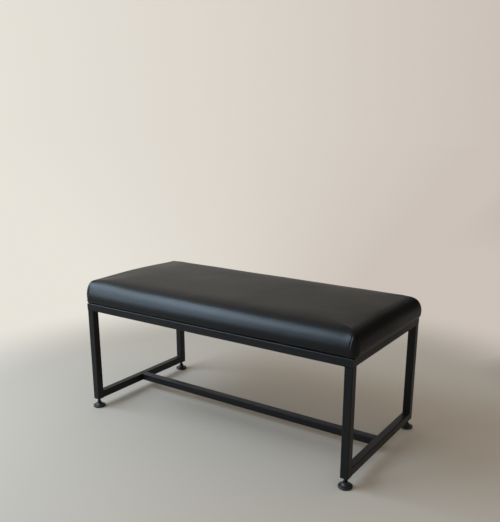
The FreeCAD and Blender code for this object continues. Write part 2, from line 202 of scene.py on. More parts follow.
class NodeTree:
    """A shader's nodes, with short calls for the few kinds used here.

    In a material, scales count waves or cells to the metre, and distances of bumps are metres.
    """

    def __init__(self, tree, coordinate):
        self.nodes = tree.nodes
        self.links = tree.links
        self.place = self.nodes.new("ShaderNodeTexCoord").outputs[coordinate]

    def give(self, socket, value):
        """Links the socket to another one, or sets its value."""
        if isinstance(value, bpy.types.NodeSocket):
            self.links.new(value, socket)
        else:
            socket.default_value = value

    def node(self, kind, inputs=None, **settings):
        made = self.nodes.new("ShaderNode" + kind)
        for key, value in settings.items():
            setattr(made, key, value)
        for socket, value in (inputs or {}).items():
            self.give(made.inputs[socket], value)
        return made

    def noise(self, scale, detail=2.0, place=None):
        inputs = {"Vector": place or self.place, "Scale": scale, "Detail": detail}
        return self.node("TexNoise", inputs).outputs["Fac"]

    def cells(self, scale, feature="DISTANCE_TO_EDGE", place=None):
        inputs = {"Vector": place or self.place, "Scale": scale}
        return self.node("TexVoronoi", inputs, feature=feature).outputs["Distance"]

    def remap(self, value, low, high, to_low=0.0, to_high=1.0):
        inputs = {"Value": value, "From Min": low, "From Max": high, "To Min": to_low, "To Max": to_high}
        return self.node("MapRange", inputs).outputs["Result"]

    def spread(self, value, low, high):
        """Stretches the middle of a noise, where most of it lies, between two values."""
        return self.remap(value, *NOISE_MIDDLE, low, high)

    def mix(self, factor, first, second):
        made = self.node("Mix", data_type="RGBA")
        for socket, value in zip(MIX_INPUTS, (factor, first, second)):
            self.give(made.inputs[socket], value)
        return made.outputs[MIX_RESULT]

    def math(self, operation, first, second):
        return self.node("Math", {0: first, 1: second}, operation=operation).outputs[0]

    def bump(self, height, distance, strength, normal=None):
        inputs = {"Height": height, "Distance": distance, "Strength": strength}
        if normal:
            inputs["Normal"] = normal
        return self.node("Bump", inputs).outputs["Normal"]


class Shader(NodeTree):
    """A new material, with values set on its surface by socket name."""

    def __init__(self, name, **values):
        self.material = bpy.data.materials.new(name)
        self.material.use_nodes = True
        super().__init__(self.material.node_tree, "Object")
        self.surface = self.nodes["Principled BSDF"]
        for socket, value in values.items():
            self.surface.inputs[socket.replace("_", " ")].default_value = value

    def to(self, socket, value):
        """Links a value to a socket of the surface."""
        self.links.new(value, self.surface.inputs[socket])


def leatherette():
    """Black artificial leather: pebbled grain with fine pores, painted shade in the grooves of the grain,
    soft gloss, faint dull patches.
    """
    shader = Shader("leatherette", IOR=1.33)
    warp = shader.node("TexNoise", {"Vector": shader.place, "Scale": 160.0}).outputs["Color"]
    drift = shader.node("VectorMath", {0: warp, 1: (0.0016,) * 3, 2: shader.place}, operation="MULTIPLY_ADD")
    pebbles_and_groove_shade = shader.remap(shader.cells(620, place=drift.outputs[0]), 0.0, 0.35)
    patches = shader.noise(6)
    # painted shade: the base colour is darker in the grooves of the pebbled grain, where shade falls, and
    # lighter on the raised grains
    shader.to("Base Color", shader.mix(pebbles_and_groove_shade, (0.0010, 0.0011, 0.0013, 1), (0.0024, 0.0025, 0.0028, 1)))
    shader.to("Roughness", shader.spread(patches, 0.39, 0.43))
    pores = shader.bump(shader.noise(2600, detail=1.0), distance=0.00002, strength=0.5)
    grain = shader.bump(pebbles_and_groove_shade, distance=0.00006, strength=0.6, normal=pores)
    shader.to("Normal", shader.bump(shader.noise(55), distance=0.0003, strength=0.4, normal=grain))
    return shader.material


def powder_coat():
    """Satin black powder coat: fine orange-peel skin, a little duller in places, with sparse pale specks."""
    shader = Shader("powder_coat", IOR=1.33)
    patches = shader.noise(9, detail=3.0)
    specks = shader.remap(shader.cells(420, feature="F1"), 0.05, 0.10, 1.0, 0.0)
    rare = shader.remap(shader.noise(60, detail=1.0), 0.62, 0.66, 0.0, 0.5)
    paint = shader.mix(patches, (0.0027, 0.0028, 0.0032, 1), (0.0043, 0.0045, 0.0050, 1))
    shader.to("Base Color", shader.mix(shader.math("MULTIPLY", specks, rare), paint, (0.03, 0.03, 0.03, 1)))
    shader.to("Roughness", shader.spread(patches, 0.38, 0.44))
    peel = shader.bump(shader.noise(420, detail=1.0), distance=0.00003, strength=0.5)
    shader.to("Normal", shader.bump(shader.noise(1500), distance=0.00002, strength=0.7, normal=peel))
    return shader.material


def foam():
    """Cream open-cell foam, with painted shade darkening the inside of each cell and the cell walls left
    lighter.
    """
    shader = Shader("foam", Roughness=0.9)
    cells = shader.cells(900)
    painted_cell_shade = shader.remap(cells, 0, 0.3, 1, 0)
    # painted shade: the base colour is darker inside each cell and lighter along the cell walls
    shader.to("Base Color", shader.mix(painted_cell_shade, (0.52, 0.44, 0.27, 1), (0.74, 0.67, 0.46, 1)))
    shader.to("Normal", shader.bump(cells, distance=0.0006, strength=0.8))
    return shader.material


PLY = 0.0017  # thickness of a layer of the plywood


def plywood():
    """Birch plywood: long grain on its faces and alternate plies along its edges."""
    shader = Shader("plywood", Roughness=0.6)
    along = shader.node("Mapping", {"Vector": shader.place, "Scale": (6.0, 90.0, 1.0)}).outputs[0]
    grain = shader.noise(1, detail=4.0, place=along)
    height = shader.node("SeparateXYZ", {0: shader.place}).outputs["Z"]
    ply = shader.remap(shader.math("PINGPONG", height, PLY), 0.45 * PLY, 0.55 * PLY, 0.0, 0.5)
    wood = shader.mix(grain, (0.44, 0.29, 0.16, 1), (0.64, 0.47, 0.29, 1))
    shader.to("Base Color", shader.mix(ply, wood, (0.34, 0.21, 0.11, 1)))
    shader.to("Normal", shader.bump(grain, distance=0.0002, strength=0.5))
    return shader.material


def dust_fabric():
    """Black spun-bonded cloth: tangled fibres, pressed together in a grid of small dots."""
    shader = Shader("dust_fabric", Roughness=0.85, Sheen_Weight=0.15)
    fibres = shader.noise(700, detail=4.0)
    dots = shader.remap(shader.cells(700, feature="F1"), 0.15, 0.35)
    shader.to("Base Color", shader.mix(fibres, (0.010, 0.010, 0.011, 1), (0.032, 0.032, 0.033, 1)))
    pressed = shader.bump(dots, distance=0.0002, strength=0.6)
    shader.to("Normal", shader.bump(fibres, distance=0.0002, strength=0.7, normal=pressed))
    return shader.material


def zinc():
    """Bright zinc plate with a faint spangle."""
    shader = Shader("zinc", Metallic=1.0)
    spangle = shader.node("TexVoronoi", {"Vector": shader.place, "Scale": 900.0}).outputs["Color"]
    tone = shader.node("SeparateColor", {0: spangle}).outputs[0]
    shader.to("Base Color", shader.mix(tone, (0.50, 0.51, 0.54, 1), (0.64, 0.65, 0.66, 1)))
    shader.to("Roughness", shader.spread(shader.noise(250, detail=3.0), 0.26, 0.42))
    shader.to("Normal", shader.bump(shader.noise(2500), distance=0.00001, strength=0.5))
    return shader.material


def foot_plastic():
    """Black moulded plastic with a fine spark-eroded texture."""
    shader = Shader("foot_plastic", IOR=1.45)
    patches = shader.noise(60)
    shader.to("Base Color", shader.mix(patches, (0.0045, 0.0045, 0.0047, 1), (0.0075, 0.0075, 0.0076, 1)))
    shader.to("Roughness", shader.spread(patches, 0.42, 0.52))
    shader.to("Normal", shader.bump(shader.noise(2200, detail=3.0), distance=0.00003, strength=0.7))
    return shader.material


def grip_rubber():
    """Dull black rubber with a dusty, pitted skin."""
    shader = Shader("grip_rubber", IOR=1.5)
    dust = shader.noise(180, detail=4.0)
    shader.to("Base Color", shader.mix(dust, (0.010, 0.010, 0.010, 1), (0.022, 0.021, 0.020, 1)))
    shader.to("Roughness", shader.spread(dust, 0.70, 0.90))
    shader.to("Normal", shader.bump(shader.noise(1400), distance=0.00005, strength=0.8))
    return shader.material


def stud_steel():
    """Blackened steel with fine lines from turning."""
    shader = Shader("stud_steel", Metallic=1.0)
    rings = shader.node("Mapping", {"Vector": shader.place, "Scale": (1.0, 1.0, 40.0)}).outputs[0]
    lines = shader.noise(150, place=rings)
    patches = shader.noise(120)
    shader.to("Base Color", shader.mix(patches, (0.025, 0.025, 0.027, 1), (0.060, 0.060, 0.063, 1)))
    shader.to("Roughness", shader.spread(lines, 0.28, 0.45))
    shader.to("Normal", shader.bump(lines, distance=0.00001, strength=0.5))
    return shader.material


MATERIALS = {
    "leatherette": leatherette(),
    "frame_paint": powder_coat(),
    "foam": foam(),
    "plywood": plywood(),
    "dust_fabric": dust_fabric(),
    "zinc": zinc(),
    "foot_plastic": foot_plastic(),
    "grip_rubber": grip_rubber(),
    "stud_steel": stud_steel(),
}


# Seat cover and foam

def grid_lines(straight):
    """For each grid line: its place along the straight stretch and its part of the corner, both -1 to 1."""
    lines = []
    for step in range(CORNER_LINES):
        lines.append((-1.0, step / CORNER_LINES - 1))
    for step in range(straight + 1):
        place = 2 * step / straight - 1
        lines.append((place + END_EASE * (place - place ** 3) / 2, 0.0))
    for step in range(CORNER_LINES):
        lines.append((1.0, (step + 1) / CORNER_LINES))
    return np.array(lines)


LINES_X = grid_lines(LONG_LINES)
LINES_Y = grid_lines(SHORT_LINES)


def lean_share(x):
    """How much of its usual lean the front has, less towards the corners."""
    return 1 - CORNER_EAR * fade(np.abs(x), SEAT_HALF_X - CORNER_EAR_REACH, SEAT_HALF_X)


def plan(i, j, left, right, side, radius):
    """Plan places of grid crossings on a rounded rectangle that lies inset from the widest outline."""
    core_x, part_x = LINES_X[i].T
    core_y, part_y = LINES_Y[j].T
    inset = np.where(core_x < 0, left, right)
    x = core_x * (SEAT_HALF_X - inset - radius) + radius * part_x * np.sqrt(1 - part_y ** 2 / 2)
    half_y = SEAT_HALF_Y - side * lean_share(x)
    y = core_y * (half_y - radius) + radius * part_y * np.sqrt(1 - part_x ** 2 / 2)
    return x, y


def border():
    """Grid crossings round the edge, counterclockwise from the front left corner."""
    last_i = len(LINES_X) - 1
    last_j = len(LINES_Y) - 1
    front = [(i, 0) for i in range(last_i)]
    right = [(last_i, j) for j in range(last_j)]
    back = [(i, last_j) for i in range(last_i, 0, -1)]
    left = [(0, j) for j in range(last_j, 0, -1)]
    return np.array(front + right + back + left)


def side_place(slope):
    """Inset and height of the place on the front that has a slope, from the widest outline."""
    if slope > SEAT_LEAN:
        return LEAN_RADIUS * (1 - math.sin(slope)), LEAN_RADIUS * math.cos(slope)
    return TOP_INSET - SEAT_ROLL * math.sin(slope), SEAT_CREST - SEAT_ROLL * (1 - math.cos(slope))


def lost_height(inset):
    """What the front lacks of its full height, as a share, where the squares of both add up to 1."""
    leaning = np.sqrt(LEAN_RADIUS ** 2 - (LEAN_RADIUS - np.clip(inset, 0, LEAN_INSET)) ** 2)
    rolling = np.sqrt(SEAT_ROLL ** 2 - (TOP_INSET - np.clip(inset, LEAN_INSET, TOP_INSET)) ** 2)
    height = np.where(inset < LEAN_INSET, leaning, SEAT_CREST - SEAT_ROLL + rolling)
    return 1 - (height / SEAT_CREST) ** 2


def rise(x, y):
    """Height of the top above the widest outline, as a share of its usual height."""
    from_end = SEAT_HALF_X - np.abs(x) - np.where(x < 0, LEFT_FLUSH, 0)
    from_side = (SEAT_HALF_Y - np.abs(y)) / lean_share(x)
    ends = lost_height(from_end * np.where(x < 0, LEFT_STEEPNESS, RIGHT_STEEPNESS))
    sides = lost_height(from_side)
    lost = (ends ** CORNER_FULLNESS + sides ** CORNER_FULLNESS) ** (1 / CORNER_FULLNESS)
    lift = LEFT_LIFT * fade(-x, LEFT_LIFT_FROM, SEAT_HALF_X) * fade(-y, -SEAT_HALF_Y, SEAT_HALF_Y)
    drop = np.where(x < 0, LEFT_DROP, RIGHT_DROP) * fade(np.abs(y), 0, SEAT_HALF_Y)
    drop = drop * fade(-from_end, -CORNER_DROP_REACH, 0) + RIGHT_LOWER * fade(x, -SEAT_HALF_X, SEAT_HALF_X)
    return np.sqrt(np.maximum(0, 1 - lost)) * (1 + lift - drop)


def side_rings():
    """From the rim down: insets at the left, right and sides, corner radius, height, share of the way up."""
    rings = []
    for step in range(SIDE_RINGS + 1):
        share = 1 - step / SIDE_RINGS
        inset, height = side_place(math.pi / 2 + (RIM_SLOPE - math.pi / 2) * share)
        left, right = (SWELL + inset / steepness for steepness in (LEFT_STEEPNESS, RIGHT_STEEPNESS))
        radius = SEAT_CORNER + (SEAT_CORNER_TOP - SEAT_CORNER) * share
        rings.append((left, right, SWELL + inset, radius, SEAT_WIDEST + height, share))
    for step in range(1, LOWER_RINGS):
        turn = math.pi / 2 * step / LOWER_RINGS
        left, right, side = (SWELL + (tuck - SWELL) * (1 - math.cos(turn)) for tuck in TUCKS)
        radius = SEAT_CORNER + (SEAT_CORNER_FOOT - SEAT_CORNER) * step / LOWER_RINGS
        rings.append((left, right, side, radius, SEAT_WIDEST * (1 - math.sin(turn)), 0.0))
    for step in range(UNDER_RINGS + 1):
        left, right, side = (tuck + (COVER_TURN - tuck) * step / UNDER_RINGS for tuck in TUCKS)
        rings.append((left, right, side, SEAT_CORNER_FOOT, COVER_LIFT, 0.0))
    finished = []
    for left, right, side, radius, height, share in rings:
        taper = RIGHT_TAPER * max(0, 1 - height / RIGHT_TAPER_HEIGHT) ** 2
        finished.append((left + LEFT_FLUSH, right + taper, side, radius, height, share))
    return finished


def seat_mesh():
    """Points, faces and rings of points of the seat's skin, with its top as a grid and its sides as rings."""
    outlines = side_rings()
    count_x = len(LINES_X)
    count_y = len(LINES_Y)
    i, j = np.meshgrid(np.arange(count_x), np.arange(count_y))
    x, y = plan(i.ravel(), j.ravel(), *outlines[0][:4])
    points = [np.stack([x, y, RING_TOP + SEAT_WIDEST + SEAT_CREST * rise(x, y)], axis=1)]
    faces = []
    for row in range(count_y - 1):
        for column in range(count_x - 1):
            first = row * count_x + column
            faces.append((first, first + 1, first + 1 + count_x, first + count_x))
    edge = border()
    rings = [[int(v) for v in edge[:, 1] * count_x + edge[:, 0]]]
    for *insets, radius, height, share in outlines[1:]:
        x, y = plan(edge[:, 0], edge[:, 1], *insets, radius)
        level = height + fade(share, 0, 1) * (SEAT_WIDEST + SEAT_CREST * rise(x, y) - height)
        start = count_x * count_y + len(edge) * (len(rings) - 1)
        above = rings[-1]
        below = list(range(start, start + len(edge)))
        points.append(np.stack([x, y, RING_TOP + level], axis=1))
        for k in range(len(edge)):
            after = (k + 1) % len(edge)
            faces.append((above[k], below[k], below[after], above[after]))
        rings.append(below)
    return np.concatenate(points), faces, rings


CLOTH_FRAMES = 20
CLOTH_QUALITY = 6
CLOTH_STIFFNESS = 80
CLOTH_SHEAR = CLOTH_STIFFNESS / 3
CLOTH_BENDING = 5
COVER_PRESSURE = 0.2  # low, because the top is wide and rises far under more
COVER_CAP = 0.005  # how far a point of the cover may move
STILL = 1e-6  # share of a cap that counts as no move


def simulate(piece, held, cap, pressure=0.0, gravity=0.0, slack=0.0):
    """Moves the piece as cloth with the held points pinned, each point no farther than the cap."""
    scene = bpy.context.scene
    start = coordinates(piece.data)
    group = piece.vertex_groups.new(name="held")
    group.add([int(v) for v in np.nonzero(held)[0]], 1.0, "REPLACE")
    cloth = piece.modifiers.new("cloth", "CLOTH")
    cloth.settings.quality = CLOTH_QUALITY
    cloth.settings.vertex_group_mass = "held"
    cloth.settings.use_pressure = pressure > 0
    cloth.settings.uniform_pressure_force = pressure
    cloth.settings.shrink_min = -slack
    cloth.settings.tension_stiffness = CLOTH_STIFFNESS
    cloth.settings.compression_stiffness = CLOTH_STIFFNESS
    cloth.settings.shear_stiffness = CLOTH_SHEAR
    cloth.settings.bending_stiffness = CLOTH_BENDING
    cloth.settings.effector_weights.gravity = gravity
    cloth.point_cache.frame_start = 1
    cloth.point_cache.frame_end = CLOTH_FRAMES
    for step in range(1, CLOTH_FRAMES + 1):
        scene.frame_set(step)
    apply_modifiers(piece)
    moved = coordinates(piece.data) - start
    share = np.maximum(np.linalg.norm(moved, axis=1) / cap, STILL)
    moved *= (np.tanh(share) / share)[:, None]
    set_coordinates(piece.data, start + moved)
    piece.vertex_groups.clear()
    scene.frame_set(1)


def swollen_cover():
    """The cover before its thickness, swollen over the foam."""
    points, faces, rings = seat_mesh()
    piece = mesh_piece("seat_cover_leatherette", points, faces, MATERIALS["leatherette"])
    simulate(piece, points[:, 2] < RING_TOP + SEAT_WIDEST / 2, COVER_CAP, pressure=COVER_PRESSURE)
    return piece, rings


def seat_foam(cover, rings):
    """Foam block inside the cover, from the board up."""
    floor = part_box("seat_foam")[0].z
    inside = coordinates(cover.data) - (COVER_THICKNESS + FOAM_GAP) * coordinates(cover.data, "normal")
    above = [ring for ring in rings if inside[ring[0]][2] > floor + FOAM_GAP]
    last = above[-1]
    kept = last[-1] + 1
    inside[last, 2] = floor
    faces = [tuple(f.vertices) for f in cover.data.polygons if max(f.vertices) < kept]
    faces.append(tuple(reversed(last)))
    piece = mesh_piece("seat_foam_block", inside[:kept], faces, MATERIALS["foam"])
    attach(piece, "bench")
    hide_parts("seat_foam")


# Marks of upholstery on the cover: a dart beside each corner, the pull of the staples, and unevenness
DART_FROM_END = 0.023  # to the fold line, from the widest outline
DART_LOW = 0.040  # height where the fold is whole
DART_HIGH = 0.066  # height where the fold has run out
DART_EASE = 0.015  # height over which it runs out
DART_FACE = (0.060, 0.045)  # inset from the front and back where the fold begins and is whole
DART_DEPTH = 0.0011
DART_WIDTH = 0.0015
DART_FLAP = 0.0009  # how far the folded side stands out
DART_FLAP_WIDTH = 0.008
SOFT_ABOVE = 0.035  # height from which the cover is eased
EASING_ROUNDS = 8
PULL_SPACING = 0.055  # of the staples
PULL_DEPTH = 0.0004  # how far they draw the cover in
PULL_HEIGHT = 0.012  # over which this fades
MARKS_FROM = 0.003  # height at which the marks are whole
UNEVEN = ((7.0, 0.0007), (19.0, 0.00025))  # waves to the metre, and how far they move the cover


def upholstery_marks(points):
    """How far each point of the cover stands out for its darts, pulled edge and unevenness."""
    x, y, z = np.abs(points[:, 0]), np.abs(points[:, 1]), points[:, 2] - RING_TOP
    past = x - (SEAT_HALF_X - DART_FROM_END)
    groove = DART_DEPTH * np.exp(-(past / DART_WIDTH) ** 2)
    flap = DART_FLAP * fade(past, 0, 2 * DART_WIDTH) * np.exp(-np.maximum(past, 0) / DART_FLAP_WIDTH)
    on_face = fade(y, *(SEAT_HALF_Y - inset for inset in DART_FACE))
    tall = fade(z, DART_LOW / 2, DART_LOW) * (1 - fade(z, DART_HIGH - DART_EASE, DART_HIGH))
    dart = on_face * tall * (flap - groove)
    longways = y > SEAT_HALF_Y - SEAT_CORNER
    along = np.where(longways, points[:, 0], points[:, 1])
    pull = -PULL_DEPTH * (0.5 + 0.5 * np.cos(2 * math.pi * along / PULL_SPACING)) * np.exp(-z / PULL_HEIGHT)
    waves = np.zeros(len(points))
    for pitch, height in UNEVEN:
        waves += [height * noise.noise(Vector(point) * pitch) for point in points]
    return (dart + pull + waves) * fade(z, 0, MARKS_FROM)


def seat_cover(piece):
    """Finishes the swollen cover: eased, with finer faces, its marks and its thickness."""
    soft = piece.vertex_groups.new(name="soft")
    points = coordinates(piece.data)
    soft.add([int(v) for v in np.nonzero(points[:, 2] > RING_TOP + SOFT_ABOVE)[0]], 1.0, "REPLACE")
    easing = piece.modifiers.new("easing", "SMOOTH")
    easing.vertex_group = "soft"
    easing.iterations = EASING_ROUNDS
    smoothing = piece.modifiers.new("smoothing", "SUBSURF")
    smoothing.levels = smoothing.render_levels = 1
    apply_modifiers(piece)
    points = coordinates(piece.data)
    outward = coordinates(piece.data, "normal")
    set_coordinates(piece.data, points + upholstery_marks(points)[:, None] * outward)
    shell = piece.modifiers.new("shell", "SOLIDIFY")
    shell.thickness = COVER_THICKNESS
    shell.offset = -1
    apply_modifiers(piece)
    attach(piece, "bench")
    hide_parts("seat_cover")


cover, cover_rings = swollen_cover()
seat_foam(cover, cover_rings)
seat_cover(cover)


# Dust cloth, stapled under the seat

CLOTH_STEP = 0.006  # between the lines of its grid
CLOTH_SLACK = 0.0012  # how much longer and wider it is than its space, as a share
CLOTH_SAG = 0.005  # how far it may hang
STAPLE_FROM_EDGE = 0.0105  # of the cloth
STAPLE_HOLD = 0.007  # how near a staple the cloth is held
TAB_WIDTH = 0.032
TAB_REACH = 0.030
TAB_HOLE_REACH = 0.017  # from the welded edge to the bolt
TAB_MARGIN = 0.004  # how far past a tab it is held
BOLT_CLEARANCE = 0.004  # half the least width of a hole for a bolt


def tab_edges():
    """The middle of each tab's welded edge, on its underside, and the way the tab points."""
    edges = []
    for name in (*CORNERS, "left", "right"):
        low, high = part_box("seat_tab_" + name)
        middle = (low + high) / 2
        if name in ("left", "right"):
            side = math.copysign(1, middle.x)
            edges.append((Vector((max(low.x, high.x, key=abs), middle.y, low.z)), Vector((-side, 0, 0))))
        else:
            side = math.copysign(1, middle.y)
            edges.append((Vector((middle.x, max(low.y, high.y, key=abs), low.z)), Vector((0, -side, 0))))
    return edges


def bolt_places():
    """The middle of each bolt, on the underside of its tab."""
    return [edge + inward * TAB_HOLE_REACH for edge, inward in tab_edges()]


def held_points(points, half_x, half_y):
    """Which points of the cloth a staple holds, or a tab presses up."""
    x, y = points[:, 0], points[:, 1]
    row_x = half_x - STAPLE_FROM_EDGE
    row_y = half_y - STAPLE_FROM_EDGE
    held = np.zeros(len(points), bool)
    for along, across, row, half_row in ((x, y, row_y, row_x), (y, x, row_x, row_y)):
        gaps = round(2 * (half_row - PULL_SPACING / 2) / PULL_SPACING)
        pitch = 2 * (half_row - PULL_SPACING / 2) / gaps
        nearest = (np.round(along / pitch + gaps / 2) - gaps / 2) * pitch
        held |= (np.abs(along - nearest) < STAPLE_HOLD) & (np.abs(np.abs(across) - row) < STAPLE_HOLD)
    for edge, inward in tab_edges():
        beside = np.abs((points - np.array(edge)) @ np.array(inward.cross(Vector((0, 0, 1)))))
        reach = (points - np.array(edge)) @ np.array(inward)
        held |= (beside < TAB_WIDTH / 2 + TAB_MARGIN) & (reach < TAB_REACH + TAB_MARGIN)
    return held


def dust_cloth():
    """Thin sheet with a hole for each bolt, hanging a little between its staples."""
    low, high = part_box("dust_cloth")
    count_x = round((high.x - low.x) / CLOTH_STEP) + 1
    count_y = round((high.y - low.y) / CLOTH_STEP) + 1
    x, y = np.meshgrid(np.linspace(low.x, high.x, count_x), np.linspace(low.y, high.y, count_y))
    points = np.stack([x.ravel(), y.ravel(), np.full(x.size, high.z)], axis=1)
    bolts = np.array([place[:2] for place in bolt_places()])
    faces = []
    for row in range(count_y - 1):
        for column in range(count_x - 1):
            first = row * count_x + column
            middle = (points[first] + points[first + count_x + 1])[:2] / 2
            if np.abs(bolts - middle).max(axis=1).min() > BOLT_CLEARANCE + CLOTH_STEP / 2:
                faces.append((first, first + count_x, first + count_x + 1, first + 1))
    used = sorted({v for face in faces for v in face})
    number = {v: k for k, v in enumerate(used)}
    points = points[used]
    faces = [tuple(number[v] for v in face) for face in faces]
    piece = mesh_piece("dust_cloth_sheet", points, faces, MATERIALS["dust_fabric"])
    simulate(piece, held_points(points, high.x, high.y), CLOTH_SAG, gravity=1.0, slack=CLOTH_SLACK)
    shell = piece.modifiers.new("shell", "SOLIDIFY")
    shell.thickness = high.z - low.z
    shell.offset = 1
    apply_modifiers(piece)
    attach(piece, "bench")
    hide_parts("dust_cloth")


# Welds

TUBE_CORNER = 0.0025  # outside radius of the tube's edges
WELD_SIZE = 0.003  # radius of a bead in its corner
WELD_RIPPLE = 0.0022  # from one ripple to the next
WELD_STEP = 0.0003  # between the rings of a bead
WELD_POINTS = 7  # steps round a bead
WELD_WANDER = 0.0004  # how far a ripple lies off its place
WELD_PATCHES = 300  # of unevenness, to the metre
WELD_LEAST = 0.74  # size between two ripples, as a share
WELD_SWELL = 0.18  # what a ripple adds
WELD_UNEVEN = 0.08  # what the unevenness adds or takes
WELD_END = 0.5  # size at the ends, as a share
WELD_SHARP = math.radians(50)  # edges over this angle stay crisp


def bead(corner, along, length, side_a, side_b):
    """Rippled bead along a corner between two faces that run off along side_a and side_b."""
    steps = round(length / WELD_STEP)
    rings = []
    for step in range(steps + 1):
        way = (step / steps - 0.5) * length
        uneven = noise.noise((corner + along * way) * WELD_PATCHES)
        ripple = abs(math.sin(math.pi * (way + WELD_WANDER * uneven) / WELD_RIPPLE))
        end = math.sqrt(min(1, (length / 2 - abs(way)) / WELD_SIZE))
        share = WELD_LEAST + WELD_SWELL * ripple + WELD_UNEVEN * uneven
        size = WELD_SIZE * share * (WELD_END + (1 - WELD_END) * end)
        place = corner + along * way
        ring = [place]
        for k in range(WELD_POINTS + 1):
            turn = math.pi / 2 * k / WELD_POINTS
            ring.append(place + (side_a * math.cos(turn) + side_b * math.sin(turn)) * size)
        rings.append(ring)
    return stacked(rings)


def frame_welds():
    """Beads at the inside corners of the frame and along each tab."""
    up = Vector((0, 0, 1))
    along_x = Vector((1, 0, 0))
    along_y = Vector((0, 1, 0))
    rail_low, rail_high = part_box("foot_rail_left")
    rail_middle = (rail_low.z + rail_high.z) / 2
    tube = rail_high.z - rail_low.z
    length = tube - 2 * TUBE_CORNER
    beads = []
    for name, (side_x, side_y) in CORNERS.items():
        low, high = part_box("leg_" + name)
        inner_x = min(low.x, high.x, key=abs)
        inner_y = min(low.y, high.y, key=abs)
        middle = (low + high) / 2
        in_x = Vector((-side_x, 0, 0))
        in_y = Vector((0, -side_y, 0))
        beads.append(bead(Vector((inner_x, middle.y, high.z)), along_y, length, in_x, -up))
        beads.append(bead(Vector((middle.x, inner_y, high.z)), along_x, length, in_y, -up))
        beads.append(bead(Vector((middle.x, inner_y, rail_high.z)), along_x, length, in_y, up))
        beads.append(bead(Vector((inner_x, inner_y, high.z + tube / 2)), up, length, in_x, in_y))
        corner = Vector((inner_x, side_y * tube / 2, rail_middle))
        beads.append(bead(corner, up, length, in_x, Vector((0, side_y, 0))))
    for edge, inward in tab_edges():
        beads.append(bead(edge, inward.cross(up), TAB_WIDTH, inward, -up))
    piece = closed_piece("frame_weld_beads", beads, MATERIALS["frame_paint"], WELD_SHARP)
    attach(piece, "bench")
    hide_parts("frame_welds")


# Threaded studs and seat bolts

ROUND_POINTS = 36
STUD_RADIUS = 0.005
STUD_CHAMFER = 0.001
THREAD_PITCH = 0.0015
THREAD_DEPTH = 0.0009
THREAD_ROWS = 10  # to a turn
THREAD_START = 0.0105  # above the middle of the ball
THREAD_FLANK = 1.25  # how much steeper its flanks are than a plain zigzag, which leaves the crest flat
THREAD_SHARP = math.radians(40)  # edges over this angle stay crisp
BALL_ROWS = 12
BALL_LOWEST = math.radians(-80)


def ring_at(x, y, z, radius):
    """Ring about an upright axis, with a radius for each turn from 0 to 1."""
    ring = []
    for k in range(ROUND_POINTS):
        turn = k / ROUND_POINTS
        angle = 2 * math.pi * turn
        ring.append(Vector((x + radius(turn) * math.cos(angle), y + radius(turn) * math.sin(angle), z)))
    return ring


def foot_stud(name):
    """Stud with a right-hand thread on a ball that turns in the base."""
    low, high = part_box("foot_stud_" + name)
    x, y = ((low + high) / 2)[:2]
    ball = (high.x - low.x) / 2
    middle = low.z + ball
    neck = STUD_RADIUS - THREAD_DEPTH
    steepest = math.acos(neck / ball)
    rings = []
    for row in range(BALL_ROWS + 1):
        tilt = BALL_LOWEST + (steepest - BALL_LOWEST) * row / BALL_ROWS
        rings.append(ring_at(x, y, middle + ball * math.sin(tilt), lambda turn: ball * math.cos(tilt)))
    start = middle + THREAD_START
    rows = round((high.z - start) / THREAD_PITCH * THREAD_ROWS)
    for row in range(rows + 1):
        height = start + (high.z - start) * row / rows
        deepest = min(THREAD_DEPTH, height - start)
        limit = STUD_RADIUS - max(0, STUD_CHAMFER - (high.z - height))

        def radius(turn):
            phase = (height / THREAD_PITCH - turn) % 1
            crest = min(1, THREAD_FLANK * abs(2 * phase - 1))
            return min(limit, neck + deepest * crest)

        rings.append(ring_at(x, y, height, radius))
    piece = closed_piece("stud_thread_" + name, [stacked(rings)], MATERIALS["stud_steel"], THREAD_SHARP)
    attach(piece, "stud_" + name)
    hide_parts("foot_stud_" + name)


BOLT_RADIUS = 0.003
BOLT_HEAD_WIDTH = 0.010  # across the flats
BOLT_HEAD_HEIGHT = 0.004
BOLT_FACE = 0.0046  # radius of the round end of the head
BOLT_CHAMFER = 0.0008
BOLT_CHAMFER_SLOPE = 1.7  # outward to each unit of height
BOLT_CHAMFER_ROWS = 4
BOLT_SHARP = math.radians(25)  # edges over this angle stay crisp


def hexagon(turn):
    """Radius of the head at a turn from 0 to 1."""
    return BOLT_HEAD_WIDTH / 2 / math.cos(2 * math.pi * ((turn * 6 + 0.5) % 1 - 0.5) / 6)


def seat_bolts():
    """Hexagon bolts with their heads down, through the tabs."""
    low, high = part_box("seat_bolts")
    forms = []
    for place in bolt_places():
        rings = []
        for step in range(BOLT_CHAMFER_ROWS + 1):
            height = BOLT_CHAMFER * step / BOLT_CHAMFER_ROWS
            limit = BOLT_FACE + height * BOLT_CHAMFER_SLOPE
            rings.append(ring_at(place.x, place.y, low.z + height, lambda turn: min(limit, hexagon(turn))))
        head_top = low.z + BOLT_HEAD_HEIGHT
        rings.append(ring_at(place.x, place.y, head_top, hexagon))
        rings.append(ring_at(place.x, place.y, head_top, lambda turn: BOLT_RADIUS))
        rings.append(ring_at(place.x, place.y, high.z - BOLT_CHAMFER, lambda turn: BOLT_RADIUS))
        rings.append(ring_at(place.x, place.y, high.z, lambda turn: BOLT_RADIUS - BOLT_CHAMFER))
        forms.append(stacked(rings))
    piece = closed_piece("seat_bolt_set", forms, MATERIALS["zinc"], BOLT_SHARP)
    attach(piece, "bench")
    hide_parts("seat_bolts")


dust_cloth()
frame_welds()
for corner_name in CORNERS:
    foot_stud(corner_name)
seat_bolts()


# Finish of the nodes that stay

def dress_nodes():
    """Gives every node the material of its slot in the record."""
    slots = {part["node"]: part["material_slot"] for part in frame["record"]["subparts"]}
    for name, node in frame["nodes"].items():
        node.data.materials.clear()
        node.data.materials.append(MATERIALS[slots[name]])


dress_nodes()


# Stage: floor, backdrop, light and camera

